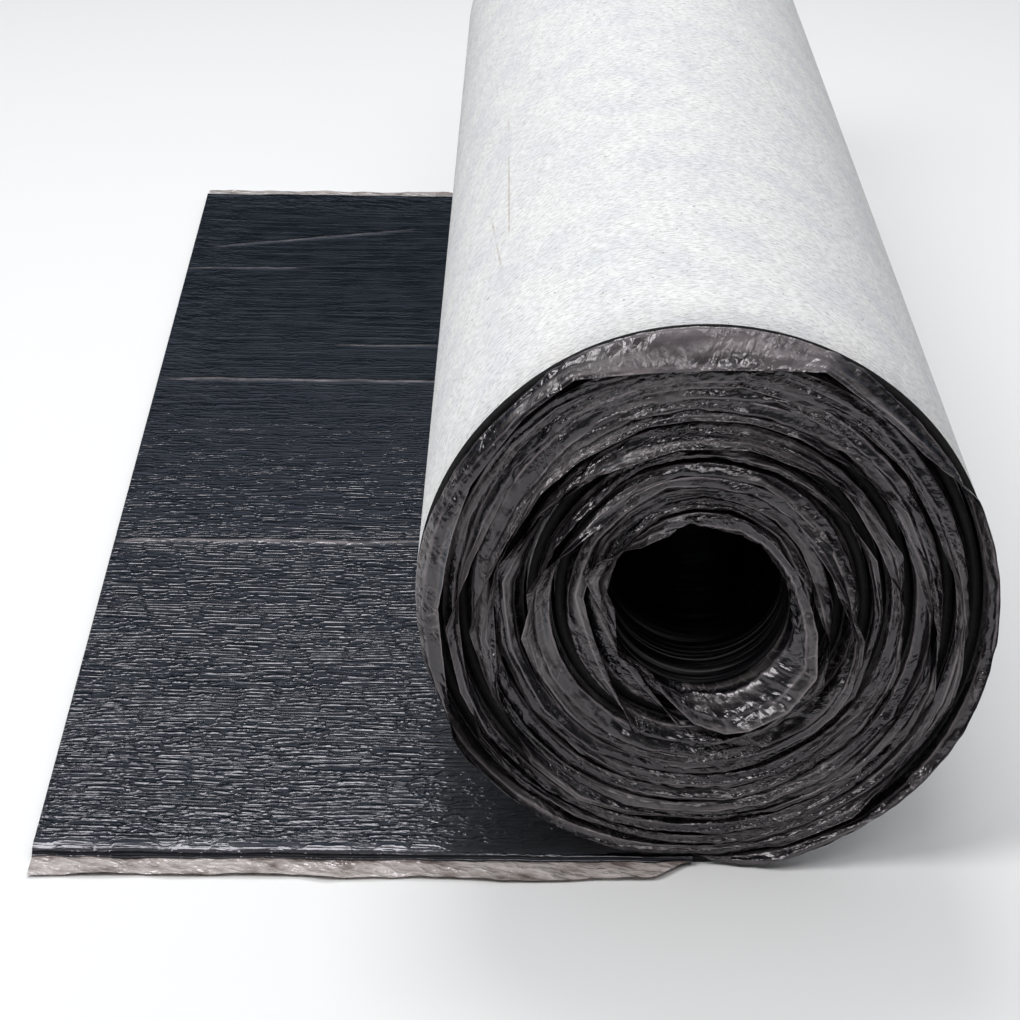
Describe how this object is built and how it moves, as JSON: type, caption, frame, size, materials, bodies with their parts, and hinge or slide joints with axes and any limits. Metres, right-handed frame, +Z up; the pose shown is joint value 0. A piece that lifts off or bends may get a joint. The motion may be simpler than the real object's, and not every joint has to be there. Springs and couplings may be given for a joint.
{
  "type": "roll of roofing felt",
  "caption": "Part-unrolled roll of white-faced bitumen roofing felt, its loose tail flat on the floor with crinkled black release film on top and bunched on the roll's ends.",
  "frame": {"origin": "on the floor, at the middle of the part's outline seen from above", "axes": "+Y along the roll's axis, from the end in front to the end behind, +Z up, the loose tail lies towards -X"},
  "size_m": [0.4229, 1.04, 0.236],
  "materials": {
    "felt": "white matted fleece on a black bitumen sheet",
    "film": "thin crinkled black film, glossy"
  },
  "bodies": {
    "root": {"felt_roll": "felt", "release_film": "film"}
  },
  "joints": []
}
